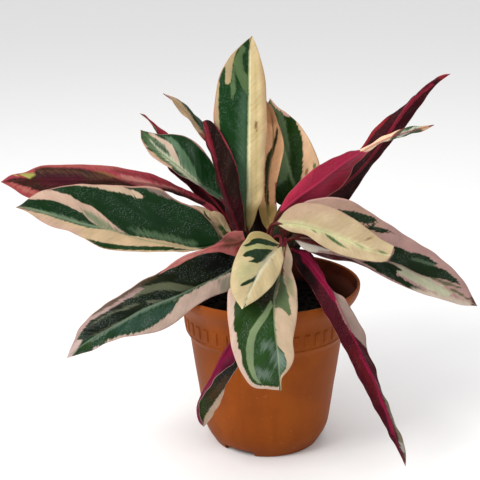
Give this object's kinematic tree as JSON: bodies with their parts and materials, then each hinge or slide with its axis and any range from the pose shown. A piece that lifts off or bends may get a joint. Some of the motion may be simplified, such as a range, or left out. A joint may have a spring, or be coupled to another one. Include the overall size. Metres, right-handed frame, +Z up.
{
  "type": "potted stromanthe plant",
  "caption": "Prayer plant with long green, cream and pink leaves that are magenta beneath, on thin red stalks in a terracotta-coloured plastic nursery pot.",
  "frame": {"origin": "middle of the pot's base, on the surface that it stands on", "axes": "+Z up, the plant's face towards -Y, its longest leaves along X"},
  "size_m": [0.352, 0.2299, 0.3063],
  "materials": {
    "leaf": "satin leaf, dark green with cream and pink fields above, magenta and maroon beneath",
    "stalk": "satin, dark red",
    "soil": "moist crumbly potting soil",
    "pot": "moulded terracotta-coloured plastic with a slight sheen"
  },
  "bodies": {
    "root": {"pot": "pot", "soil": "soil", "leaf_center_tall": "leaf", "leaf_center_maroon": "leaf", "leaf_upper_left": "leaf", "leaf_back_left_high": "leaf", "leaf_back_left_red": "leaf", "leaf_far_left_under": "leaf", "leaf_left_broad": "leaf", "leaf_lower_left": "leaf", "leaf_front_small": "leaf", "leaf_front_hanging": "leaf", "leaf_front_low_folded": "leaf", "leaf_right_hanging": "leaf", "leaf_right_broad": "leaf", "leaf_right_cream": "leaf", "leaf_right_magenta": "leaf", "leaf_far_right_maroon": "leaf", "leaf_back_right_high": "leaf", "leaf_center_cream": "leaf", "leaf_left_tip_small": "leaf", "leaf_rear_upright": "leaf", "leaf_rear_right": "leaf", "leaf_rear_left": "leaf", "leaf_rear_hanging": "leaf", "leaf_rear_left_low": "leaf", "leaf_rear_right_low": "leaf", "stalk_center_tall": "stalk", "stalk_center_maroon": "stalk", "stalk_upper_left": "stalk", "stalk_back_left_high": "stalk", "stalk_back_left_red": "stalk", "stalk_far_left_under": "stalk", "stalk_left_broad": "stalk", "stalk_lower_left": "stalk", "stalk_front_small": "stalk", "stalk_front_hanging": "stalk", "stalk_front_low_folded": "stalk", "stalk_right_hanging": "stalk", "stalk_right_broad": "stalk", "stalk_right_cream": "stalk", "stalk_right_magenta": "stalk", "stalk_far_right_maroon": "stalk", "stalk_back_right_high": "stalk", "stalk_center_cream": "stalk", "stalk_left_tip_small": "stalk", "stalk_rear_upright": "stalk", "stalk_rear_right": "stalk", "stalk_rear_left": "stalk", "stalk_rear_hanging": "stalk", "stalk_rear_left_low": "stalk", "stalk_rear_right_low": "stalk"}
  },
  "joints": []
}
